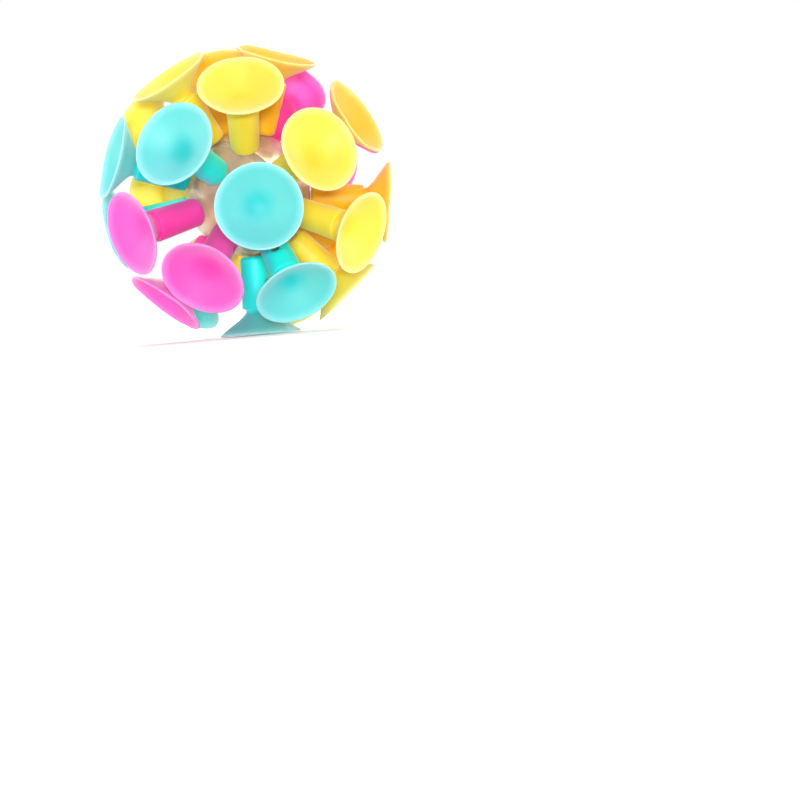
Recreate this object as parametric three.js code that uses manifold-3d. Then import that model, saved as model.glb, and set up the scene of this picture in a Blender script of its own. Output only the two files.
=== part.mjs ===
import * as THREE from 'three';
import { mergeVertices } from 'three/addons/utils/BufferGeometryUtils.js';
import Module from 'manifold-3d';

// Light-up suction ball: a clear pegged core in two halves, soft suckers pushed over the pegs in
// five one-colour rings, and a shake-operated flasher inside. Millimetres and degrees.
// The origin is the middle of the ball. +Z is up, and the ball stands on one teal sucker.

const wasm = await Module();
wasm.setup();

// Driving sizes of the ball
const rimDistance = 31.3;
const coreRadius = 13.7;
const shellThickness = 2.4;
const fitGap = 0.3;
const seatGap = 0.05;

// Driving sizes of a sucker
const cupRadius = 9.2;
const cupDepth = 4.7;
const lipWidth = 0.45;
const cupWall = 0.5;
const stalkRadius = 3.5;
const stalkFootRadius = 3.1;
const stalkEndRound = 0.4;
const neckRadius = 2.75;
const neckLength = 0.7;
const shoulderDrop = 0.5;
const ventRadius = 1.0;

// Driving sizes of the pegs
const pegRadius = 1.5;
const pegReach = 4.7;
const boreSpare = 2.8;

// Number of flat sides used for the round pieces
const suckerSides = 12;
const coreSides = 20;
const pegSides = 8;
const ventSides = 6;
const lampSides = 10;
const pinSides = 8;
const cellSides = 16;
const springStepsPerTurn = 8;

// Rings of suckers about the ring axis: angle from the axis, how many, first one's angle round the axis
const magentaTilt = 20.5;
const tealTilt = 56;
const rings = [
  { name: 'magenta_near', color: 'magenta', tilt: magentaTilt, count: 3, start: 76 },
  { name: 'teal', color: 'teal', tilt: tealTilt, count: 7, start: 0 },
  { name: 'yellow', color: 'yellow', tilt: 90, count: 9, start: 24 },
  { name: 'orange', color: 'orange', tilt: 180 - tealTilt, count: 7, start: 50 },
  { name: 'magenta_far', color: 'magenta', tilt: 180 - magentaTilt, count: 3, start: 86 },
];

// The ring axis is tipped so that the first teal sucker points straight down, then turned about +Z
const ballYaw = -140;

// Step from one sucker to the next in the turn of its vent hole about its stalk
const ventStep = 33;
const ventStart = 336;

const rad = THREE.MathUtils.degToRad;

// Colours as red, green and blue from 0 to 1
const colors = {
  magenta: [1.0, 0.26, 0.68],
  teal: [0.15, 0.85, 0.83],
  yellow: [0.99, 0.92, 0.2],
  orange: [0.99, 0.7, 0.02],
  clear: [0.93, 0.93, 0.95],
  board: [0.86, 0.84, 0.78],
  red: [0.95, 0.12, 0.1],
  green: [0.2, 0.9, 0.25],
  blue: [0.15, 0.3, 0.95],
  black: [0.05, 0.05, 0.05],
  steel: [0.78, 0.78, 0.8],
};

const group = new THREE.Group();
group.name = 'light_up_suction_ball';

// Basic helpers

function bare(geometry) {
  const copy = geometry.clone();
  copy.deleteAttribute('normal');
  copy.deleteAttribute('uv');
  return mergeVertices(copy, 1e-5);
}

function toSolid(geometry) {
  const clean = bare(geometry);
  const mesh = new wasm.Mesh({
    numProp: 3,
    vertProperties: new Float32Array(clean.attributes.position.array),
    triVerts: new Uint32Array(clean.index.array),
  });
  mesh.merge();
  return new wasm.Manifold(mesh);
}

function toGeometry(solid) {
  const mesh = solid.getMesh();
  const geometry = new THREE.BufferGeometry();
  geometry.setAttribute('position', new THREE.BufferAttribute(new Float32Array(mesh.vertProperties), 3));
  geometry.setIndex(new THREE.BufferAttribute(new Uint32Array(mesh.triVerts), 1));
  return geometry;
}

// Turns a profile of [radius, height] pairs about the Z axis
function turned(profile, sides) {
  const points = profile.map(([radius, height]) => new THREE.Vector2(radius, height));
  const geometry = new THREE.LatheGeometry(points, sides);
  geometry.rotateX(Math.PI / 2);
  return geometry;
}

// An upright round bar on the Z axis between two heights
function bar(radius, bottom, top, sides) {
  return turned([[0, bottom], [radius, bottom], [radius, top], [0, top]], sides);
}

function block(sizeX, sizeY, bottom, top) {
  const geometry = new THREE.BoxGeometry(sizeX, sizeY, top - bottom);
  geometry.translate(0, 0, (bottom + top) / 2);
  return geometry;
}

// Height at which a sphere about the origin passes a given distance from the Z axis
function sphereHeight(radius, distance) {
  return Math.sqrt(radius * radius - distance * distance);
}

// Ball frame to part frame: ring axis tipped over and turned
const ballTurn = new THREE.Matrix4()
  .makeRotationZ(rad(ballYaw))
  .multiply(new THREE.Matrix4().makeRotationY(rad(180 - tealTilt)));

function addPiece(name, geometry, color, roughness, opacity) {
  const placed = bare(geometry);
  placed.applyMatrix4(ballTurn);
  placed.computeVertexNormals();
  const material = new THREE.MeshStandardMaterial({
    color: new THREE.Color(...colors[color]),
    roughness,
    metalness: color === 'steel' ? 0.9 : 0,
    transparent: opacity < 1,
    opacity,
  });
  material.name = color;
  const mesh = new THREE.Mesh(placed, material);
  mesh.name = name;
  group.add(mesh);
}

// Matrix that carries the +Z axis to a place on a ring
function ringTurn(ring, index) {
  const round = ring.start + (index * 360) / ring.count;
  return new THREE.Matrix4()
    .makeRotationZ(rad(round))
    .multiply(new THREE.Matrix4().makeRotationY(rad(ring.tilt)));
}

// One sucker, standing on the +Z axis with the middle of the ball at the origin
const boreRadius = pegRadius + fitGap;
const pegTip = coreRadius + pegReach;
const boreEnd = pegTip + boreSpare;
const cupFloor = rimDistance - cupDepth;
const neckTop = cupFloor - cupWall;
const stalkTop = neckTop - neckLength - shoulderDrop;
const seatRadius = coreRadius + fitGap;

// Underside and inside of the cup: fractions of the way from neck to lip, in radius and in height
const flare = [[0.13, 0.17], [0.41, 0.44], [0.72, 0.72]];
const bowl = [[0.75, 0.66], [0.42, 0.25]];

function suckerShape() {
  const lipInner = cupRadius - lipWidth;
  const endRadius = stalkFootRadius - stalkEndRound;
  const profile = [
    [0, boreEnd],
    [boreRadius, boreEnd],
    [boreRadius, sphereHeight(seatRadius, boreRadius)],
    [endRadius, sphereHeight(seatRadius, endRadius)],
    [stalkFootRadius, sphereHeight(seatRadius, stalkFootRadius) + 2 * stalkEndRound],
    [stalkRadius, stalkTop],
    [neckRadius, stalkTop + shoulderDrop],
    [neckRadius, neckTop],
  ];
  for (const [out, up] of flare) {
    const radius = neckRadius + out * (cupRadius - neckRadius);
    profile.push([radius, neckTop + up * (rimDistance - neckTop)]);
  }
  profile.push([cupRadius, rimDistance]);
  profile.push([lipInner, rimDistance]);
  for (const [out, up] of bowl) {
    profile.push([out * lipInner, cupFloor + up * cupDepth]);
  }
  profile.push([0, cupFloor]);
  const vent = bar(ventRadius, boreRadius / 2, 2 * stalkRadius, ventSides);
  vent.rotateY(Math.PI / 2);
  vent.translate(0, 0, (pegTip + boreEnd) / 2);
  return toGeometry(toSolid(turned(profile, suckerSides)).subtract(toSolid(vent)));
}

const sucker = suckerShape();
let placedSuckers = 0;
for (const ring of rings) {
  for (let index = 0; index < ring.count; index += 1) {
    const spin = new THREE.Matrix4().makeRotationZ(rad(ventStart + ventStep * placedSuckers));
    const piece = sucker.clone().applyMatrix4(ringTurn(ring, index).multiply(spin));
    addPiece(`sucker_${ring.name}_${index + 1}`, piece, ring.color, 0.45, 1);
    placedSuckers += 1;
  }
}

// The clear core: two half shells with pegs, and a rebate on the joint for the carrier
const innerRadius = coreRadius - shellThickness;
const carrierThickness = 1.2;
const carrierLap = 0.6;
const carrierRadius = innerRadius + carrierLap;
const rebateRadius = carrierRadius + fitGap;
const rebateHeight = carrierThickness / 2 + seatGap;
const seamHalf = fitGap / 2;
const arcSteps = 5;

function halfShell() {
  const profile = [];
  const innerFoot = Math.asin(rebateHeight / innerRadius);
  for (let step = 0; step <= arcSteps; step += 1) {
    const lift = Math.PI / 2 + ((innerFoot - Math.PI / 2) * step) / arcSteps;
    const radius = step === 0 ? 0 : innerRadius * Math.cos(lift);
    profile.push([radius, innerRadius * Math.sin(lift)]);
  }
  profile.push([rebateRadius, rebateHeight]);
  profile.push([rebateRadius, seamHalf]);
  const outerFoot = Math.asin(seamHalf / coreRadius);
  for (let step = 0; step <= arcSteps; step += 1) {
    const lift = outerFoot + ((Math.PI / 2 - outerFoot) * step) / arcSteps;
    const radius = step === arcSteps ? 0 : coreRadius * Math.cos(lift);
    profile.push([radius, coreRadius * Math.sin(lift)]);
  }
  return turned(profile, coreSides);
}

function coreHalf(side) {
  const shell = halfShell();
  if (side < 0) {
    shell.rotateX(Math.PI);
  }
  let solid = toSolid(shell);
  const root = coreRadius - shellThickness / 2;
  const slabSize = 4 * coreRadius;
  const peg = bar(pegRadius, root, pegTip, pegSides);
  let slab = block(slabSize, slabSize, seamHalf - slabSize, seamHalf);
  if (side < 0) {
    slab = block(slabSize, slabSize, -seamHalf, slabSize - seamHalf);
  }
  const cutter = toSolid(slab);
  for (const ring of rings) {
    const lean = Math.cos(rad(ring.tilt));
    if (lean * side > -0.01) {
      for (let index = 0; index < ring.count; index += 1) {
        const placed = toSolid(peg.clone().applyMatrix4(ringTurn(ring, index)));
        solid = solid.add(placed.subtract(cutter));
      }
    }
  }
  return toGeometry(solid);
}

addPiece('core_near_half', coreHalf(1), 'clear', 0.1, 0.4);
addPiece('core_far_half', coreHalf(-1), 'clear', 0.1, 0.4);

// The flasher inside, laid out on the carrier with the ring axis as its upright
const carrierTop = carrierThickness / 2;
addPiece('carrier', bar(carrierRadius, -carrierTop, carrierTop, coreSides), 'clear', 0.1, 0.5);

const boardLength = 13;
const boardWidth = 9;
const boardThickness = 0.8;
const boardBottom = carrierTop + seatGap;
const boardTop = boardBottom + boardThickness;
addPiece('circuit_board', block(boardLength, boardWidth, boardBottom, boardTop), 'board', 0.6, 1);

// Three lamps along one edge of the board
const lampRadius = 1.5;
const lampFlange = 1.75;
const lampFlangeHeight = 0.6;
const lampHeight = 4.2;
const lampPitch = 4.3;
const lampRow = 2.4;
const lampColors = ['red', 'green', 'blue'];

function lampShape() {
  const foot = boardTop + seatGap;
  const domeFoot = foot + lampHeight - lampRadius;
  const halfwayRound = lampRadius * Math.SQRT1_2;
  return turned([
    [0, foot],
    [lampFlange, foot],
    [lampFlange, foot + lampFlangeHeight],
    [lampRadius, foot + lampFlangeHeight],
    [lampRadius, domeFoot],
    [halfwayRound, domeFoot + halfwayRound],
    [0, domeFoot + lampRadius],
  ], lampSides);
}

lampColors.forEach((color, index) => {
  const lamp = lampShape();
  lamp.translate((index - 1) * lampPitch, lampRow, 0);
  addPiece(`lamp_${color}`, lamp, color, 0.2, 0.8);
});

// Black drop over the chip, with the radius and height of its shoulder
const chipRadius = 1.7;
const chipHeight = 0.9;
const chipShoulderRadius = 1.3;
const chipShoulderHeight = 0.6;
const backRow = 2.1;
const chipFoot = boardTop + seatGap;
const chip = turned([
  [0, chipFoot],
  [chipRadius, chipFoot],
  [chipShoulderRadius, chipFoot + chipShoulderHeight],
  [0, chipFoot + chipHeight],
], lampSides);
chip.translate(-lampPitch, -backRow, 0);
addPiece('chip_cover', chip, 'black', 0.4, 1);

// Shake switch: a pin on the board and a coil spring standing round it
const pinRadius = 0.35;
const springRadius = 1.35;
const springWire = 0.2;
const springTurns = 4;
const springHeight = 3.6;
const switchX = 3;
const switchY = -backRow;

const pin = bar(pinRadius, boardTop + seatGap, boardTop + springHeight, pinSides);
pin.translate(switchX, switchY, 0);
addPiece('switch_pin', pin, 'steel', 0.3, 1);

class Coil extends THREE.Curve {
  getPoint(fraction) {
    const angle = fraction * springTurns * 2 * Math.PI;
    const foot = boardTop + seatGap + 2 * springWire;
    return new THREE.Vector3(
      switchX + springRadius * Math.cos(angle),
      switchY + springRadius * Math.sin(angle),
      foot + fraction * springHeight,
    );
  }
}

// The spring's wire: a square section swept along the coil
function springShape() {
  const section = new THREE.Shape([
    new THREE.Vector2(-springWire, -springWire),
    new THREE.Vector2(springWire, -springWire),
    new THREE.Vector2(springWire, springWire),
    new THREE.Vector2(-springWire, springWire),
  ]);
  const steps = springTurns * springStepsPerTurn;
  return new THREE.ExtrudeGeometry(section, { steps, extrudePath: new Coil(), bevelEnabled: false });
}

addPiece('switch_spring', springShape(), 'steel', 0.3, 1);

// Two button cells side by side under the carrier
const cellRadius = 3.95;
const cellHeight = 3.6;
const cellSpacing = 2 * cellRadius + fitGap;
const cellTop = -carrierTop - seatGap;
const cellBottom = cellTop - cellHeight;
for (const side of [-1, 1]) {
  const cell = bar(cellRadius, cellBottom, cellTop, cellSides);
  cell.translate((side * cellSpacing) / 2, 0, 0);
  addPiece(side < 0 ? 'button_cell_left' : 'button_cell_right', cell, 'steel', 0.3, 1);
}

// Bent strip under the cells, its two legs reaching up to the carrier
const stripThickness = 0.4;
const stripWidth = 4;
const stripInside = cellSpacing / 2 + cellRadius + fitGap;
const stripTop = cellBottom - seatGap;
const stripOutline = new THREE.Shape([
  new THREE.Vector2(-stripInside - stripThickness, stripTop - stripThickness),
  new THREE.Vector2(stripInside + stripThickness, stripTop - stripThickness),
  new THREE.Vector2(stripInside + stripThickness, cellTop),
  new THREE.Vector2(stripInside, cellTop),
  new THREE.Vector2(stripInside, stripTop),
  new THREE.Vector2(-stripInside, stripTop),
  new THREE.Vector2(-stripInside, cellTop),
  new THREE.Vector2(-stripInside - stripThickness, cellTop),
]);
const strip = new THREE.ExtrudeGeometry(stripOutline, { depth: stripWidth, bevelEnabled: false });
strip.translate(0, 0, -stripWidth / 2);
strip.rotateX(Math.PI / 2);
addPiece('battery_strip', strip, 'steel', 0.3, 1);

export default group;
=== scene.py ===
import math

import bmesh
import bpy
from mathutils import Matrix, Vector, noise


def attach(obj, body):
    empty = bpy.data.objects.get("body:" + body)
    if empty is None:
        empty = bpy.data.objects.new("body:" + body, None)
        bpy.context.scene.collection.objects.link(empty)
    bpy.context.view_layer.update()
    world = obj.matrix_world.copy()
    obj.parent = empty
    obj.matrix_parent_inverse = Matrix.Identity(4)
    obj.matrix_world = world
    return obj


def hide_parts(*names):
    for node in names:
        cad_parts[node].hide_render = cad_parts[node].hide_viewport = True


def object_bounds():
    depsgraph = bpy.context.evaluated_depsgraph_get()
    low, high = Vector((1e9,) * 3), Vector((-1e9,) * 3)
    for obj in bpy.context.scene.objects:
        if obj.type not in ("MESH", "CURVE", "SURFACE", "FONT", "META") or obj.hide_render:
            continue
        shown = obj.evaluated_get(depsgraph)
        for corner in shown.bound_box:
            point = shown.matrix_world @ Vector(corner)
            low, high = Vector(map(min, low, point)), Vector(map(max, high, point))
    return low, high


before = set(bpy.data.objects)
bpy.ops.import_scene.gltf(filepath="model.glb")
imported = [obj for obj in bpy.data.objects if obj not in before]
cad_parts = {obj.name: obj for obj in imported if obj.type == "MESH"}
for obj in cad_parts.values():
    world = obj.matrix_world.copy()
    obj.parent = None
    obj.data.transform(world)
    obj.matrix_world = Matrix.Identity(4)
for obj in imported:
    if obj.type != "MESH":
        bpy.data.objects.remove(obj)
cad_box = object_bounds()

# Light-up suction ball: soft translucent suckers on a clear split core, with the flasher inside.
# Sizes are in millimetres until a mesh is placed, and angles are in degrees.
# Lights, floor and the distances in materials are in metres.
MM = 0.001

# Sizes of the ball and of its suckers, as in the solid model
RIM_DISTANCE = 31.3
CORE_RADIUS = 13.7
SHELL_THICKNESS = 2.4
FIT_GAP = 0.3
SEAT_GAP = 0.05
CUP_RADIUS = 9.2
CUP_DEPTH = 4.7
CUP_WALL = 0.5
LIP_WIDTH = 0.45
STALK_RADIUS = 3.5
STALK_FOOT_RADIUS = 3.1
NECK_RADIUS = 2.75
NECK_LENGTH = 0.7
SHOULDER_DROP = 0.5
VENT_RADIUS = 1.0
PEG_RADIUS = 1.5
PEG_REACH = 4.7
BORE_SPARE = 2.8
PEG_TIP = CORE_RADIUS + PEG_REACH
BORE_RADIUS = PEG_RADIUS + FIT_GAP
BORE_END = PEG_TIP + BORE_SPARE
CUP_FLOOR = RIM_DISTANCE - CUP_DEPTH
NECK_TOP = CUP_FLOOR - CUP_WALL
STALK_TOP = NECK_TOP - NECK_LENGTH - SHOULDER_DROP

# Rings of suckers: name, colour, angle from the ring axis, how many, first one's angle round the axis
MAGENTA_TILT = 20.5
TEAL_TILT = 56
SEAM_TILT = 90
RINGS = [
    ("magenta_near", "magenta", MAGENTA_TILT, 3, 76),
    ("teal", "teal", TEAL_TILT, 7, 0),
    ("yellow", "yellow", SEAM_TILT, 9, 24),
    ("orange", "orange", 180 - TEAL_TILT, 7, 50),
    ("magenta_far", "magenta", 180 - MAGENTA_TILT, 3, 86),
]
BALL_YAW = -140
VENT_START = 336
VENT_STEP = 33

# Tones of each rubber, as display colours: stalk, heart of the cup, cup, lip. They hold painted light: the
# stalk is painted brighter than the cup to lift the shade between the cups, the heart is painted deeper as
# shade in the cup's hollow over the thick neck, and the lip is painted paler as light through the thin rim
RUBBER_TONES_AND_PAINTED_LIGHT = {
    "magenta": ((255, 64, 172), (243, 66, 176), (247, 86, 188), (252, 132, 208)),
    "teal": ((6, 244, 236), (22, 198, 199), (98, 204, 206), (148, 220, 223)),
    "yellow": ((255, 217, 62), (234, 208, 34), (236, 215, 66), (245, 231, 136)),
    "orange": ((255, 186, 6), (247, 168, 4), (248, 182, 24), (251, 203, 104)),
}
WHITE = (1.0, 1.0, 1.0, 1.0)

# Lights: name, place, width, height, power in watts
LIGHTS = [
    ("front", (0.02, -0.8, 0), 0.24, 0.06, 5.2),
    ("left", (-0.9, 0.05, 0.2), 0.4, 0.4, 3),
    ("right", (0.9, 0.05, 0.2), 0.4, 0.4, 3),
    ("back", (0.1, 0.85, 0.3), 0.4, 0.4, 6),
    ("top", (0, 0.05, 0.9), 0.5, 0.5, 3.6),
]
WORLD_STRENGTH = 0.2

# Camera: where it stands round the ball, how it is rolled, and the pixel where the ball's middle lies
CAMERA_AZIMUTH = 1.2
CAMERA_ELEVATION = -4.3
CAMERA_ROLL = -4.4
CAMERA_DISTANCE = 350
PICTURE_SIZE = 800
BALL_AT = (249.6, 193.3)
PIXELS_PER_MM = 4.44
SENSOR_WIDTH = 36
CLIP_START = 0.01


def turn(axis, degrees):
    return Matrix.Rotation(math.radians(degrees), 4, axis)


BALL_TURN = turn("Z", BALL_YAW) @ turn("Y", 180 - TEAL_TILT)


def sucker_places():
    """Node name, colour, ring angle and turn from the ring axis of each sucker, ring by ring."""
    for ring_name, color, tilt, count, start in RINGS:
        for index in range(count):
            where = turn("Z", start + index * 360 / count) @ turn("Y", tilt)
            yield f"sucker_{ring_name}_{index + 1}", color, tilt, where


def srgb(red, green, blue):
    """Linear colour of a display colour given from 0 to 255."""
    linear = []
    for value in (red, green, blue):
        value = value / 255
        if value <= 0.04045:
            linear.append(value / 12.92)
        else:
            linear.append(((value + 0.055) / 1.055) ** 2.4)
    return (*linear, 1.0)


def smoothstep(low, high, value):
    share = min(1.0, max(0.0, (value - low) / (high - low)))
    return share * share * (3 - 2 * share)


# Profiles and meshes

ON_AXIS = 1e-6
SHARP_ANGLE = 35


def bezier(start, first, second, end, steps):
    points = []
    for step in range(steps + 1):
        t = step / steps
        u = 1 - t
        points.append(tuple(
            u ** 3 * a + 3 * u * u * t * b + 3 * u * t * t * c + t ** 3 * d
            for a, b, c, d in zip(start, first, second, end)
        ))
    return points


def arc(middle, radius, start, end, steps):
    points = []
    for step in range(steps + 1):
        angle = math.radians(start + (end - start) * step / steps)
        points.append((middle[0] + radius * math.cos(angle), middle[1] + radius * math.sin(angle)))
    return points


def revolve(profile, sides):
    """A closed bmesh from a profile of (radius, height) pairs that starts and ends on the axis."""
    mesh = bmesh.new()
    rows = []
    for radius, height in profile:
        if radius < ON_AXIS:
            rows.append([mesh.verts.new((0, 0, height))])
            continue
        row = []
        for side in range(sides):
            angle = 2 * math.pi * side / sides
            row.append(mesh.verts.new((radius * math.cos(angle), radius * math.sin(angle), height)))
        rows.append(row)
    for lower, upper in zip(rows, rows[1:]):
        for side in range(sides):
            after = (side + 1) % sides
            if len(lower) == 1:
                mesh.faces.new((lower[0], upper[after], upper[side]))
            elif len(upper) == 1:
                mesh.faces.new((lower[side], lower[after], upper[0]))
            else:
                mesh.faces.new((lower[side], lower[after], upper[after], upper[side]))
    bmesh.ops.recalc_face_normals(mesh, faces=mesh.faces)
    return mesh


def mesh_object(name, mesh):
    data = bpy.data.meshes.new(name)
    mesh.to_mesh(data)
    mesh.free()
    data.shade_smooth()
    data.set_sharp_from_angle(angle=math.radians(SHARP_ANGLE))
    piece = bpy.data.objects.new(name, data)
    bpy.context.scene.collection.objects.link(piece)
    return piece


def place(piece, matrix):
    """Moves a mesh from millimetres in its own frame to metres in the part's frame."""
    piece.data.transform(Matrix.Scale(MM, 4) @ matrix)
    piece.data.update()


def dress(piece, material, body, node):
    piece.data.materials.clear()
    piece.data.materials.append(material)
    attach(piece, body)
    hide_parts(node)


# Materials

# Sockets of a Mix node that mixes colours
MIX_SHARE = 0
MIX_FIRST = 6
MIX_SECOND = 7
MIX_RESULT = 2


def new_material(name):
    material = bpy.data.materials.new(name)
    material.use_nodes = True
    return material, material.node_tree.nodes, material.node_tree.links


def add_mottle(nodes, links, scale, low, high):
    """A slow noise over the piece, mapped to a range of values."""
    place_node = nodes.new("ShaderNodeTexCoord")
    texture = nodes.new("ShaderNodeTexNoise")
    texture.inputs["Scale"].default_value = scale
    texture.inputs["Detail"].default_value = 3
    span = nodes.new("ShaderNodeMapRange")
    span.inputs["To Min"].default_value = low
    span.inputs["To Max"].default_value = high
    links.new(place_node.outputs["Object"], texture.inputs["Vector"])
    links.new(texture.outputs["Fac"], span.inputs["Value"])
    return span.outputs["Result"]


def add_grain(nodes, links, shader, scale, strength, distance):
    """Fine moulded grain as a bump."""
    place_node = nodes.new("ShaderNodeTexCoord")
    texture = nodes.new("ShaderNodeTexNoise")
    texture.inputs["Scale"].default_value = scale
    texture.inputs["Detail"].default_value = 4
    bump = nodes.new("ShaderNodeBump")
    bump.inputs["Strength"].default_value = strength
    bump.inputs["Distance"].default_value = distance
    links.new(place_node.outputs["Object"], texture.inputs["Vector"])
    links.new(texture.outputs["Fac"], bump.inputs["Height"])
    links.new(bump.outputs["Normal"], shader.inputs["Normal"])


def mix_colors(nodes, links, share, first, second):
    """A mix of two colours, each of them a fixed colour or a node's output."""
    mix = nodes.new("ShaderNodeMix")
    mix.data_type = "RGBA"
    links.new(share, mix.inputs[MIX_SHARE])
    for socket, value in ((mix.inputs[MIX_FIRST], first), (mix.inputs[MIX_SECOND], second)):
        if isinstance(value, tuple):
            socket.default_value = value
        else:
            links.new(value, socket)
    return mix.outputs[MIX_RESULT]


def rubber(name, brightened_stalk, shaded_heart, cup, lit_lip):
    """Soft translucent rubber: deep in the stalk, which is also painted brighter to lift the shade between
    the cups, deep in the heart of the cup as painted shade in its hollow, and paler out to the thin lip as
    painted light through the rim.
    """
    material, nodes, links = new_material(name)
    shader = nodes["Principled BSDF"]
    tone = nodes.new("ShaderNodeAttribute")
    tone.attribute_name = "tone"
    parts = nodes.new("ShaderNodeSeparateColor")
    links.new(tone.outputs["Color"], parts.inputs["Color"])
    body = mix_colors(nodes, links, parts.outputs["Red"], srgb(*brightened_stalk), srgb(*cup))
    with_shaded_heart = mix_colors(nodes, links, parts.outputs["Blue"], body, srgb(*shaded_heart))
    with_lit_lip = mix_colors(nodes, links, parts.outputs["Green"], with_shaded_heart, srgb(*lit_lip))
    shade = nodes.new("ShaderNodeHueSaturation")
    value = add_mottle(nodes, links, scale=160, low=0.97, high=1.03)
    roughness = add_mottle(nodes, links, scale=420, low=0.45, high=0.58)
    links.new(with_lit_lip, shade.inputs["Color"])
    links.new(value, shade.inputs["Value"])
    links.new(shade.outputs["Color"], shader.inputs["Base Color"])
    links.new(roughness, shader.inputs["Roughness"])
    shader.inputs["IOR"].default_value = 1.45
    shader.inputs["Subsurface Weight"].default_value = 1.0
    shader.inputs["Subsurface Radius"].default_value = (1.0, 1.0, 1.0)
    shader.inputs["Subsurface Scale"].default_value = 0.0014
    shader.inputs["Sheen Weight"].default_value = 0.25
    shader.inputs["Sheen Roughness"].default_value = 0.45
    add_grain(nodes, links, shader, scale=900, strength=0.05, distance=0.0002)
    return material


def see_through(name, color, transmission, refraction, mottle, grain):
    """Clear or tinted plastic, with mottled roughness and a faint grain."""
    material, nodes, links = new_material(name)
    shader = nodes["Principled BSDF"]
    shader.inputs["Base Color"].default_value = color
    shader.inputs["Transmission Weight"].default_value = transmission
    shader.inputs["IOR"].default_value = refraction
    links.new(add_mottle(nodes, links, **mottle), shader.inputs["Roughness"])
    add_grain(nodes, links, shader, **grain)
    return material


def clear_plastic(name, color, roughness):
    mottle = {"scale": 110, "low": roughness * 0.7, "high": roughness * 1.3}
    grain = {"scale": 140, "strength": 0.06, "distance": 0.0004}
    return see_through(name, color, transmission=0.74, refraction=1.46, mottle=mottle, grain=grain)


def lamp_lens(name, color):
    mottle = {"scale": 300, "low": 0.12, "high": 0.25}
    grain = {"scale": 600, "strength": 0.04, "distance": 0.0001}
    return see_through(name, color, transmission=0.6, refraction=1.5, mottle=mottle, grain=grain)


def plain(name, color, roughness, metallic=0.0, wear=0.05):
    """Solid plastic, laminate or metal, with slightly uneven colour and roughness."""
    material, nodes, links = new_material(name)
    shader = nodes["Principled BSDF"]
    shade = nodes.new("ShaderNodeHueSaturation")
    shade.inputs["Color"].default_value = color
    value = add_mottle(nodes, links, scale=500, low=1 - wear, high=1 + wear)
    rough = add_mottle(nodes, links, scale=700, low=roughness * 0.8, high=roughness * 1.2)
    links.new(value, shade.inputs["Value"])
    links.new(shade.outputs["Color"], shader.inputs["Base Color"])
    shader.inputs["Metallic"].default_value = metallic
    links.new(rough, shader.inputs["Roughness"])
    add_grain(nodes, links, shader, scale=1500, strength=0.08, distance=0.0001)
    return material


RUBBERS = {color: rubber(f"{color}_rubber", *tones) for color, tones in RUBBER_TONES_AND_PAINTED_LIGHT.items()}
SHELL_PLASTIC = clear_plastic("clear_shell_plastic", srgb(255, 232, 206), 0.18)
CARRIER_PLASTIC = clear_plastic("clear_carrier_plastic", srgb(250, 248, 246), 0.2)
BOARD_LAMINATE = plain("board_laminate", srgb(236, 232, 222), 0.5)
CHIP_RESIN = plain("chip_resin", srgb(28, 28, 30), 0.35)
CONTACT_STEEL = plain("contact_steel", srgb(214, 214, 218), 0.3, metallic=1.0)
CELL_STEEL = plain("cell_steel", srgb(222, 222, 226), 0.25, metallic=1.0)
LAMP_LENSES = {
    "red": lamp_lens("red_lens", srgb(240, 60, 50)),
    "green": lamp_lens("green_lens", srgb(70, 215, 90)),
    "blue": lamp_lens("blue_lens", srgb(60, 100, 240)),
}


# Suckers

SUCKER_SIDES = 72
SUCKER_SHARP_ANGLE = 40
VENT_SIDES = 28
VENT_CUT_START = 1.2
VENT_CUT_END = 6

# Roundings of the profile
FOOT_ROUND = 0.9
SHOULDER_ROUND = 0.4
SHOULDER_LIFT = 0.1
SHOULDER_SWEEP = 80
LIP_ROUND = 0.16
LIP_UNDERCUT = 20
LIP_LEAN = 10
WALL_STEPS = 12

# Points that pull the curves of the neck and the cup: radii, and heights from the neck's top or the rim
NECK_PULL = 0.15
FLARE_START_DROP = 0.2
FLARE_LOW_RISE = 0.9
FLARE_HIGH_RADIUS = 5.6
FLARE_HIGH_DROP = 3.0
FLARE_END_INSET = 0.05
FLARE_END_DROP = 0.36
BOWL_HIGH_RADIUS = 6.9
BOWL_HIGH_DROP = 1.3
BOWL_LOW_RADIUS = 3.6

# Where the tones change: half the height of the blend from the brightened stalk into the cup, and
# distances from the axis for the heart's painted shade and from the rim for the lip's painted light
CUP_BLEND = 0.5
SHADED_HEART_FULL = 0.4
SHADED_HEART_END = 4.4
LIT_LIP_FADE = 1.9
LIT_LIP_FULL = 0.1

# Unevenness of a moulded cup: where it starts, how far the rim is drawn in and dips, and the dips' noise
UNEVEN_START = 4.0
RIM_DRAW = 0.018
RIM_OVAL = 0.01
RIM_LOBES = 0.008
RIM_DIP = 0.4
DIP_SCALE = 0.16
DIP_STEP = 7.3


def sphere_height(radius, distance):
    """Height of a ball's surface above its middle, at a distance from its axis."""
    return math.sqrt(radius * radius - distance * distance)


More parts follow.
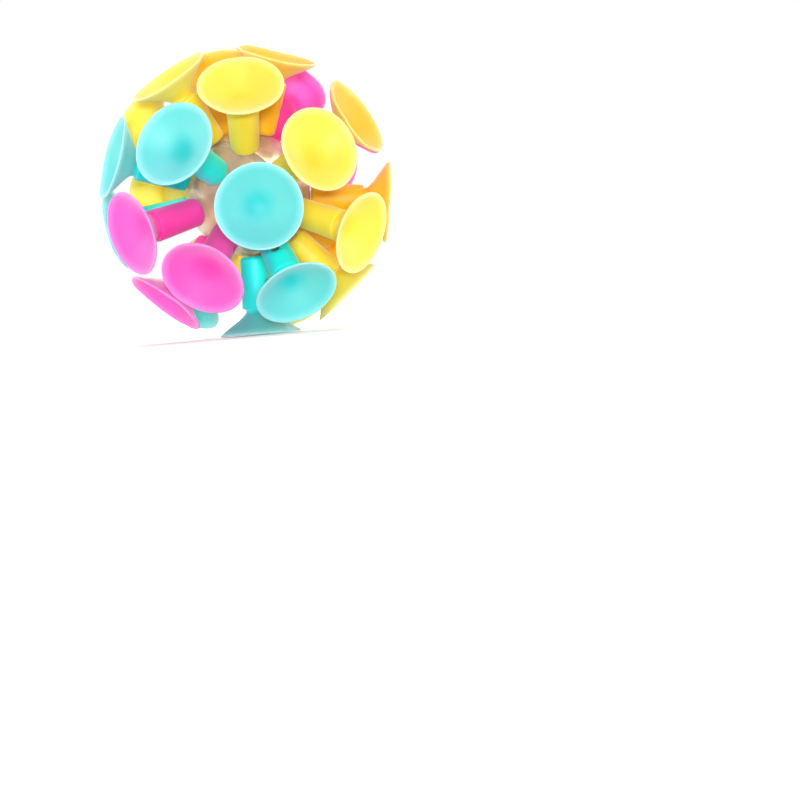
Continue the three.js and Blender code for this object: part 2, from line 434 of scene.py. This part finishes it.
def sucker_profile():
    """Sleeve, shoulder, neck, trumpet cup and rounded lip, as (radius, height) from the ball's middle."""
    seat = CORE_RADIUS + FIT_GAP
    foot_inset = STALK_FOOT_RADIUS - FOOT_ROUND
    foot_middle = (foot_inset, sphere_height(seat, foot_inset) + FOOT_ROUND)
    shoulder_middle = (STALK_RADIUS - SHOULDER_ROUND, STALK_TOP + SHOULDER_LIFT)
    neck_end = (NECK_RADIUS, NECK_TOP - FLARE_START_DROP)
    lip_middle = (CUP_RADIUS - LIP_ROUND, RIM_DISTANCE - LIP_ROUND)
    inner_round = LIP_ROUND / 2
    inner_middle = (CUP_RADIUS - LIP_WIDTH + inner_round, RIM_DISTANCE - inner_round)
    profile = [(0, BORE_END), (BORE_RADIUS, BORE_END)]
    profile += [(BORE_RADIUS, sphere_height(seat, BORE_RADIUS))]
    profile += arc(foot_middle, FOOT_ROUND, -90, 0, steps=8)
    wall_low = profile[-1][1]
    for step in range(1, WALL_STEPS):
        share = step / WALL_STEPS
        radius = STALK_FOOT_RADIUS + (STALK_RADIUS - STALK_FOOT_RADIUS) * share
        profile.append((radius, wall_low + (STALK_TOP - wall_low) * share))
    profile += arc(shoulder_middle, SHOULDER_ROUND, 0, SHOULDER_SWEEP, steps=6)
    shoulder_end = profile[-1]
    neck_fillet = bezier(
        shoulder_end,
        (NECK_RADIUS + NECK_PULL, shoulder_end[1]),
        (NECK_RADIUS, NECK_TOP - NECK_LENGTH),
        neck_end,
        steps=6,
    )
    profile += neck_fillet[1:]
    flare = bezier(
        neck_end,
        (NECK_RADIUS + NECK_PULL, NECK_TOP + FLARE_LOW_RISE),
        (FLARE_HIGH_RADIUS, RIM_DISTANCE - FLARE_HIGH_DROP),
        (CUP_RADIUS - FLARE_END_INSET, RIM_DISTANCE - FLARE_END_DROP),
        steps=26,
    )
    profile += flare[1:]
    profile += arc(lip_middle, LIP_ROUND, -LIP_UNDERCUT, 90, steps=6)
    profile += arc(inner_middle, inner_round, 90, 180 - LIP_LEAN, steps=4)
    bowl = bezier(
        profile[-1],
        (BOWL_HIGH_RADIUS, RIM_DISTANCE - BOWL_HIGH_DROP),
        (BOWL_LOW_RADIUS, CUP_FLOOR),
        (0, CUP_FLOOR),
        steps=28,
    )
    profile += bowl[1:]
    return profile


def sucker_template():
    """One sucker on the +Z axis with its vent hole cut through the side of the sleeve."""
    whole = mesh_object("sucker_template", revolve(sucker_profile(), SUCKER_SIDES))
    cutter_profile = [
        (0, VENT_CUT_START),
        (VENT_RADIUS, VENT_CUT_START),
        (VENT_RADIUS, VENT_CUT_END),
        (0, VENT_CUT_END),
    ]
    cutter = mesh_object("vent_cutter", revolve(cutter_profile, VENT_SIDES))
    cutter.data.transform(Matrix.Translation((0, 0, (PEG_TIP + BORE_END) / 2)) @ turn("Y", 90))
    cut = whole.modifiers.new("vent", "BOOLEAN")
    cut.operation = "DIFFERENCE"
    cut.solver = "EXACT"
    cut.object = cutter
    bpy.context.view_layer.update()
    shaped = whole.evaluated_get(bpy.context.evaluated_depsgraph_get())
    data = bpy.data.meshes.new_from_object(shaped)
    for used in (whole, cutter):
        bpy.data.objects.remove(used)
    return data


def soften(data, number):
    """Small moulding unevenness of one cup, and the tone of its thick and thin places, which places the
    painted light: the brightened stalk, painted shade in the heart of the cup and painted light at the
    thin lip.
    """
    tone = data.attributes.new("tone", "FLOAT_COLOR", "POINT")
    for vertex in data.vertices:
        point = vertex.co
        radius = math.hypot(point.x, point.y)
        angle = math.atan2(point.y, point.x)
        # Shares of the painted light: the cup against the brightened stalk, painted light at the lip,
        # painted shade at the heart
        cup = smoothstep(NECK_TOP - CUP_BLEND, NECK_TOP + CUP_BLEND, point.z)
        shaded_heart = (1 - smoothstep(SHADED_HEART_FULL, SHADED_HEART_END, radius)) * cup
        lit_lip = smoothstep(CUP_RADIUS - LIT_LIP_FADE, CUP_RADIUS - LIT_LIP_FULL, radius) * cup
        tone.data[vertex.index].color = (cup, lit_lip, shaded_heart, 1.0)
        reach = smoothstep(UNEVEN_START, CUP_RADIUS, radius) * cup
        oval = RIM_OVAL * math.sin(2 * angle + number)
        lobes = RIM_LOBES * math.sin(3 * angle + 2 * number)
        squeeze = 1 - (RIM_DRAW + oval + lobes) * reach
        sway = noise.noise(Vector((point.x * DIP_SCALE, point.y * DIP_SCALE, number * DIP_STEP)))
        vertex.co.x *= squeeze
        vertex.co.y *= squeeze
        vertex.co.z -= RIM_DIP * reach * (0.5 + 0.5 * sway)


def add_suckers():
    template = sucker_template()
    for number, (node, color, tilt, where) in enumerate(sucker_places()):
        data = template.copy()
        data.name = f"soft_{node}"
        soften(data, number)
        piece = bpy.data.objects.new(f"soft_{node}", data)
        bpy.context.scene.collection.objects.link(piece)
        place(piece, BALL_TURN @ where @ turn("Z", VENT_START + VENT_STEP * number))
        data.shade_smooth()
        data.set_sharp_from_angle(angle=math.radians(SUCKER_SHARP_ANGLE))
        dress(piece, RUBBERS[color], node, node)
    bpy.data.meshes.remove(template)


# Clear core: two smooth half shells with their pegs

INNER_RADIUS = CORE_RADIUS - SHELL_THICKNESS
CARRIER_THICKNESS = 1.2
CARRIER_LAP = 0.6
CARRIER_RADIUS = INNER_RADIUS + CARRIER_LAP
REBATE_RADIUS = CARRIER_RADIUS + FIT_GAP
REBATE_HEIGHT = CARRIER_THICKNESS / 2 + SEAT_GAP
SEAM_HALF = FIT_GAP / 2
SHELL_STEPS = 24
SHELL_SIDES = 96
PEG_LIFT = 0.02
PEG_CHAMFER = 0.3
PEG_SIDES = 24


def half_shell():
    inner_foot = math.degrees(math.asin(REBATE_HEIGHT / INNER_RADIUS))
    outer_foot = math.degrees(math.asin(SEAM_HALF / CORE_RADIUS))
    profile = arc((0, 0), INNER_RADIUS, 90, inner_foot, SHELL_STEPS)
    profile[0] = (0, INNER_RADIUS)
    profile += [(REBATE_RADIUS, REBATE_HEIGHT), (REBATE_RADIUS, SEAM_HALF)]
    profile += arc((0, 0), CORE_RADIUS, outer_foot, 90, SHELL_STEPS)
    profile[-1] = (0, CORE_RADIUS)
    return revolve(profile, SHELL_SIDES)


def peg_mesh(where, tilt, side):
    """A peg at its place. On the seam, it is cut to the half that belongs to this side."""
    foot = CORE_RADIUS + PEG_LIFT
    profile = [(0, foot), (PEG_RADIUS, foot), (PEG_RADIUS, PEG_TIP - PEG_CHAMFER)]
    profile += [(PEG_RADIUS - PEG_CHAMFER, PEG_TIP), (0, PEG_TIP)]
    peg = revolve(profile, PEG_SIDES)
    peg.transform(where)
    if tilt == SEAM_TILT:
        cut = bmesh.ops.bisect_plane(
            peg,
            geom=peg.verts[:] + peg.edges[:] + peg.faces[:],
            plane_co=(0, 0, side * SEAM_HALF),
            plane_no=(0, 0, -side),
            clear_outer=True,
        )
        edges = [item for item in cut["geom_cut"] if isinstance(item, bmesh.types.BMEdge)]
        bmesh.ops.contextual_create(peg, geom=edges)
    return peg


def half_with_pegs(name, side):
    """The half shell on one side of the seam, with the pegs of the rings on that side."""
    shell = half_shell()
    if side < 0:
        over = Matrix.Rotation(math.pi, 3, "X")
        bmesh.ops.rotate(shell, verts=shell.verts, cent=(0, 0, 0), matrix=over)
    for node, color, tilt, where in sucker_places():
        if (SEAM_TILT - tilt) * side < 0:
            continue
        peg = peg_mesh(where, tilt, side)
        peg_data = bpy.data.meshes.new("peg")
        peg.to_mesh(peg_data)
        peg.free()
        shell.from_mesh(peg_data)
        bpy.data.meshes.remove(peg_data)
    return mesh_object(name, shell)


def add_core():
    for node, side in (("core_near_half", 1), ("core_far_half", -1)):
        half = half_with_pegs(f"clear_{node}", side)
        place(half, BALL_TURN)
        dress(half, SHELL_PLASTIC, "core", node)


# Flasher inside the core, laid out with the ring axis as its upright

CARRIER_TOP = CARRIER_THICKNESS / 2
CARRIER_EDGE = 0.2
CARRIER_SIDES = 72
BOARD_LENGTH = 13
BOARD_WIDTH = 9
BOARD_THICKNESS = 0.8
BOARD_ROUND = 0.08
BOARD_BOTTOM = CARRIER_TOP + SEAT_GAP
BOARD_TOP = BOARD_BOTTOM + BOARD_THICKNESS
PARTS_FOOT = BOARD_TOP + SEAT_GAP
LAMP_RADIUS = 1.5
LAMP_FLANGE = 1.75
LAMP_FLANGE_HEIGHT = 0.6
LAMP_FLANGE_SLOPE = 0.05
LAMP_HEIGHT = 4.2
LAMP_PITCH = 4.3
LAMP_ROW = 2.4
LAMP_SIDES = 32
BACK_ROW = 2.1
CHIP_RADIUS = 1.7
CHIP_HEIGHT = 0.9
CHIP_SIDE_RADIUS = 1.6
CHIP_SIDE_HEIGHT = 0.6
CHIP_CROWN_RADIUS = 0.9
CHIP_SIDES = 28
SWITCH_AT = (3, -BACK_ROW)
PIN_RADIUS = 0.35
PIN_CHAMFER = 0.1
PIN_SIDES = 20
SPRING_RADIUS = 1.35
SPRING_WIRE = 0.2
SPRING_TURNS = 4
SPRING_HEIGHT = 3.6
SPRING_STEPS_PER_TURN = 28
SPRING_SIDES = 10
CELL_RADIUS = 3.95
CELL_HEIGHT = 3.6
CELL_EDGE = 0.3
CELL_SIDES = 48
CELL_SPACING = 2 * CELL_RADIUS + FIT_GAP
CELL_TOP = -CARRIER_TOP - SEAT_GAP
CELL_BOTTOM = CELL_TOP - CELL_HEIGHT
STRIP_THICKNESS = 0.4
STRIP_WIDTH = 4
STRIP_ROUND = 0.06

# Crimped rim and cap of a button cell, from its side to its top: inset from the side, depth below the top
CELL_RIM = [(0, 0.7), (0.35, 0.45), (0.7, 0.5), (0.8, 0.15), (1.0, 0)]


def turned_piece(name, profile, sides, at, material, node):
    piece = mesh_object(name, revolve(profile, sides))
    place(piece, BALL_TURN @ Matrix.Translation((at[0], at[1], 0)))
    dress(piece, material, "core", node)


def round_edges(mesh, offset):
    bmesh.ops.bevel(mesh, geom=mesh.edges[:], offset=offset, segments=2, affect="EDGES")


def add_carrier():
    inner = CARRIER_RADIUS - CARRIER_EDGE
    profile = [
        (0, -CARRIER_TOP),
        (inner, -CARRIER_TOP),
        (CARRIER_RADIUS, -CARRIER_TOP + CARRIER_EDGE),
        (CARRIER_RADIUS, CARRIER_TOP - CARRIER_EDGE),
        (inner, CARRIER_TOP),
        (0, CARRIER_TOP),
    ]
    middle = (0, 0)
    turned_piece("clear_carrier", profile, CARRIER_SIDES, middle, CARRIER_PLASTIC, "carrier")


def add_board():
    low = Vector((-BOARD_LENGTH / 2, -BOARD_WIDTH / 2, BOARD_BOTTOM))
    high = Vector((BOARD_LENGTH / 2, BOARD_WIDTH / 2, BOARD_TOP))
    mesh = bmesh.new()
    bmesh.ops.create_cube(mesh, size=1)
    for vertex in mesh.verts:
        vertex.co = (high + low) / 2 + vertex.co * (high - low)
    round_edges(mesh, BOARD_ROUND)
    board = mesh_object("flasher_board", mesh)
    place(board, BALL_TURN)
    dress(board, BOARD_LAMINATE, "core", "circuit_board")


def add_lamps():
    """Three lamps in a row, each with a flange at its foot and a domed top."""
    flange_top = PARTS_FOOT + LAMP_FLANGE_HEIGHT
    lamp_top = PARTS_FOOT + LAMP_HEIGHT
    profile = [
        (0, PARTS_FOOT),
        (LAMP_FLANGE, PARTS_FOOT),
        (LAMP_FLANGE, flange_top),
        (LAMP_RADIUS, flange_top + LAMP_FLANGE_SLOPE),
    ]
    profile += arc((0, lamp_top - LAMP_RADIUS), LAMP_RADIUS, 0, 90, steps=10)
    profile[-1] = (0, lamp_top)
    for index, (color, lens) in enumerate(LAMP_LENSES.items()):
        at = ((index - 1) * LAMP_PITCH, LAMP_ROW)
        node = f"lamp_{color}"
        turned_piece(f"lens_{color}", profile, LAMP_SIDES, at, lens, node)


def add_chip_cover():
    profile = [(0, PARTS_FOOT)]
    profile += bezier(
        (CHIP_RADIUS, PARTS_FOOT),
        (CHIP_SIDE_RADIUS, PARTS_FOOT + CHIP_SIDE_HEIGHT),
        (CHIP_CROWN_RADIUS, PARTS_FOOT + CHIP_HEIGHT),
        (0, PARTS_FOOT + CHIP_HEIGHT),
        steps=10,
    )
    at = (-LAMP_PITCH, -BACK_ROW)
    turned_piece("chip_drop", profile, CHIP_SIDES, at, CHIP_RESIN, "chip_cover")


def add_switch_pin():
    top = BOARD_TOP + SPRING_HEIGHT
    profile = [
        (0, PARTS_FOOT),
        (PIN_RADIUS, PARTS_FOOT),
        (PIN_RADIUS, top - PIN_CHAMFER),
        (PIN_RADIUS - PIN_CHAMFER, top),
        (0, top),
    ]
    turned_piece("contact_pin", profile, PIN_SIDES, SWITCH_AT, CONTACT_STEEL, "switch_pin")


def coil_mesh():
    """Round wire wound into the shake switch's spring, closed at both ends."""
    mesh = bmesh.new()
    steps = SPRING_TURNS * SPRING_STEPS_PER_TURN
    rows = []
    for step in range(steps + 1):
        share = step / steps
        angle = share * SPRING_TURNS * 2 * math.pi
        out = Vector((math.cos(angle), math.sin(angle), 0))
        middle = out * SPRING_RADIUS
        middle.z = PARTS_FOOT + 2 * SPRING_WIRE + share * SPRING_HEIGHT
        row = []
        for side in range(SPRING_SIDES):
            round_angle = 2 * math.pi * side / SPRING_SIDES
            offset = out * math.cos(round_angle) + Vector((0, 0, math.sin(round_angle)))
            row.append(mesh.verts.new(middle + offset * SPRING_WIRE))
        rows.append(row)
    for lower, upper in zip(rows, rows[1:]):
        for side in range(SPRING_SIDES):
            after = (side + 1) % SPRING_SIDES
            mesh.faces.new((lower[side], lower[after], upper[after], upper[side]))
    mesh.faces.new(rows[0])
    mesh.faces.new(rows[-1])
    bmesh.ops.recalc_face_normals(mesh, faces=mesh.faces)
    return mesh


def add_switch_spring():
    spring = mesh_object("contact_spring", coil_mesh())
    place(spring, BALL_TURN @ Matrix.Translation((*SWITCH_AT, 0)))
    dress(spring, CONTACT_STEEL, "core", "switch_spring")


def add_button_cells():
    """Two button cells, each a can with a crimped rim and a smaller cap above it."""
    profile = [
        (0, CELL_BOTTOM),
        (CELL_RADIUS - CELL_EDGE, CELL_BOTTOM),
        (CELL_RADIUS, CELL_BOTTOM + CELL_EDGE),
    ]
    profile += [(CELL_RADIUS - inset, CELL_TOP - depth) for inset, depth in CELL_RIM]
    profile += [(0, CELL_TOP)]
    for side, node in ((-1, "button_cell_left"), (1, "button_cell_right")):
        at = (side * CELL_SPACING / 2, 0)
        turned_piece(f"steel_{node}", profile, CELL_SIDES, at, CELL_STEEL, node)


def strip_mesh():
    """Bent strip under the cells, with a leg up to the carrier at each end."""
    inside = CELL_SPACING / 2 + CELL_RADIUS + FIT_GAP
    outside = inside + STRIP_THICKNESS
    top = CELL_BOTTOM - SEAT_GAP
    outline = [
        (-outside, top - STRIP_THICKNESS),
        (outside, top - STRIP_THICKNESS),
        (outside, CELL_TOP),
        (inside, CELL_TOP),
        (inside, top),
        (-inside, top),
        (-inside, CELL_TOP),
        (-outside, CELL_TOP),
    ]
    mesh = bmesh.new()
    near = [mesh.verts.new((x, -STRIP_WIDTH / 2, z)) for x, z in outline]
    far = [mesh.verts.new((x, STRIP_WIDTH / 2, z)) for x, z in outline]
    mesh.faces.new(near)
    mesh.faces.new(far[::-1])
    for index in range(len(outline)):
        after = (index + 1) % len(outline)
        mesh.faces.new((near[index], far[index], far[after], near[after]))
    bmesh.ops.recalc_face_normals(mesh, faces=mesh.faces)
    round_edges(mesh, STRIP_ROUND)
    return mesh


def add_battery_strip():
    strip = mesh_object("contact_strip", strip_mesh())
    place(strip, BALL_TURN)
    dress(strip, CONTACT_STEEL, "core", "battery_strip")


# Floor, backdrop and light

FLOOR_SIZE = 6
FLOOR_COLOR = (0.93, 0.93, 0.93, 1.0)
FLOOR_ROUGHNESS = 0.9

# White that the floor shows by itself, so that it runs out into the backdrop: at which reach, and how much
LIFT_START = 0.08
LIFT_END = 0.6
LIFT_NEAR = 0.25
LIFT_FAR = 0.9


def seen_or_reflected(nodes, links):
    """Share that is 1 for rays that show the surface directly, mirrored or through clear plastic."""
    path = nodes.new("ShaderNodeLightPath")
    first = nodes.new("ShaderNodeMath")
    first.operation = "MAXIMUM"
    second = nodes.new("ShaderNodeMath")
    second.operation = "MAXIMUM"
    links.new(path.outputs["Is Camera Ray"], first.inputs[0])
    links.new(path.outputs["Is Glossy Ray"], first.inputs[1])
    links.new(first.outputs[0], second.inputs[0])
    links.new(path.outputs["Is Transmission Ray"], second.inputs[1])
    return second.outputs[0]


def add_world():
    """Even soft light, behind a backdrop that shows as white."""
    world = bpy.data.worlds.new("studio")
    bpy.context.scene.world = world
    world.use_nodes = True
    nodes = world.node_tree.nodes
    links = world.node_tree.links
    soft_light = nodes["Background"]
    soft_light.inputs["Color"].default_value = WHITE
    soft_light.inputs["Strength"].default_value = WORLD_STRENGTH
    white_back = nodes.new("ShaderNodeBackground")
    white_back.inputs["Color"].default_value = WHITE
    white_back.inputs["Strength"].default_value = 1.0
    choose = nodes.new("ShaderNodeMixShader")
    links.new(seen_or_reflected(nodes, links), choose.inputs[0])
    links.new(soft_light.outputs[0], choose.inputs[1])
    links.new(white_back.outputs[0], choose.inputs[2])
    links.new(choose.outputs[0], nodes["World Output"].inputs["Surface"])


def pale_floor():
    material, nodes, links = new_material("pale_floor")
    shader = nodes["Principled BSDF"]
    shader.inputs["Base Color"].default_value = FLOOR_COLOR
    shader.inputs["Roughness"].default_value = FLOOR_ROUGHNESS
    shader.inputs["Emission Color"].default_value = WHITE
    place_node = nodes.new("ShaderNodeTexCoord")
    reach = nodes.new("ShaderNodeVectorMath")
    reach.operation = "LENGTH"
    links.new(place_node.outputs["Object"], reach.inputs[0])
    white = nodes.new("ShaderNodeMapRange")
    white.inputs["From Min"].default_value = LIFT_START
    white.inputs["From Max"].default_value = LIFT_END
    white.inputs["To Min"].default_value = LIFT_NEAR
    white.inputs["To Max"].default_value = LIFT_FAR
    links.new(reach.outputs["Value"], white.inputs["Value"])
    lift = nodes.new("ShaderNodeMath")
    lift.operation = "MULTIPLY"
    links.new(seen_or_reflected(nodes, links), lift.inputs[0])
    links.new(white.outputs["Result"], lift.inputs[1])
    links.new(lift.outputs[0], shader.inputs["Emission Strength"])
    return material


def add_floor():
    mesh = bmesh.new()
    bmesh.ops.create_grid(mesh, x_segments=1, y_segments=1, size=FLOOR_SIZE)
    floor = mesh_object("floor", mesh)
    floor.location.z = cad_box[0][2]
    floor.data.materials.append(pale_floor())


def add_light(name, at, width, height, power):
    data = bpy.data.lights.new(name, "AREA")
    data.shape = "ELLIPSE"
    data.size = width
    data.size_y = height
    data.energy = power
    lamp = bpy.data.objects.new(name, data)
    lamp.location = at
    lamp.rotation_euler = (-Vector(at)).to_track_quat("-Z", "Y").to_euler()
    bpy.context.scene.collection.objects.link(lamp)


# Camera

def add_camera():
    azimuth = math.radians(CAMERA_AZIMUTH)
    elevation = math.radians(CAMERA_ELEVATION)
    roll = math.radians(CAMERA_ROLL)
    toward = Vector((
        math.sin(azimuth) * math.cos(elevation),
        -math.cos(azimuth) * math.cos(elevation),
        math.sin(elevation),
    ))
    at = toward * CAMERA_DISTANCE * MM
    level = (-toward).cross(Vector((0, 0, 1))).normalized()
    upright = level.cross(-toward)
    right = level * math.cos(roll) + upright * math.sin(roll)
    above = upright * math.cos(roll) - level * math.sin(roll)
    focal = PIXELS_PER_MM * CAMERA_DISTANCE
    middle = PICTURE_SIZE / 2
    aside = math.atan2(middle - BALL_AT[0], focal)
    below = math.atan2(middle - BALL_AT[1], focal)
    aim = (-toward + right * math.tan(aside) - above * math.tan(below)).normalized()
    side = aim.cross(above).normalized()
    top = side.cross(aim)
    data = bpy.data.cameras.new("camera")
    data.sensor_width = SENSOR_WIDTH
    data.lens = focal * SENSOR_WIDTH / PICTURE_SIZE
    data.clip_start = CLIP_START
    camera = bpy.data.objects.new("camera", data)
    camera.matrix_world = Matrix((
        (side.x, top.x, -aim.x, at.x),
        (side.y, top.y, -aim.y, at.y),
        (side.z, top.z, -aim.z, at.z),
        (0, 0, 0, 1),
    ))
    bpy.context.scene.collection.objects.link(camera)
    bpy.context.scene.camera = camera


# The whole ball, and what it stands on

add_suckers()
add_core()
add_carrier()
add_board()
add_lamps()
add_chip_cover()
add_switch_pin()
add_switch_spring()
add_button_cells()
add_battery_strip()
add_world()
add_floor()
for light in LIGHTS:
    add_light(*light)
add_camera()
bpy.context.scene.view_settings.view_transform = "Standard"
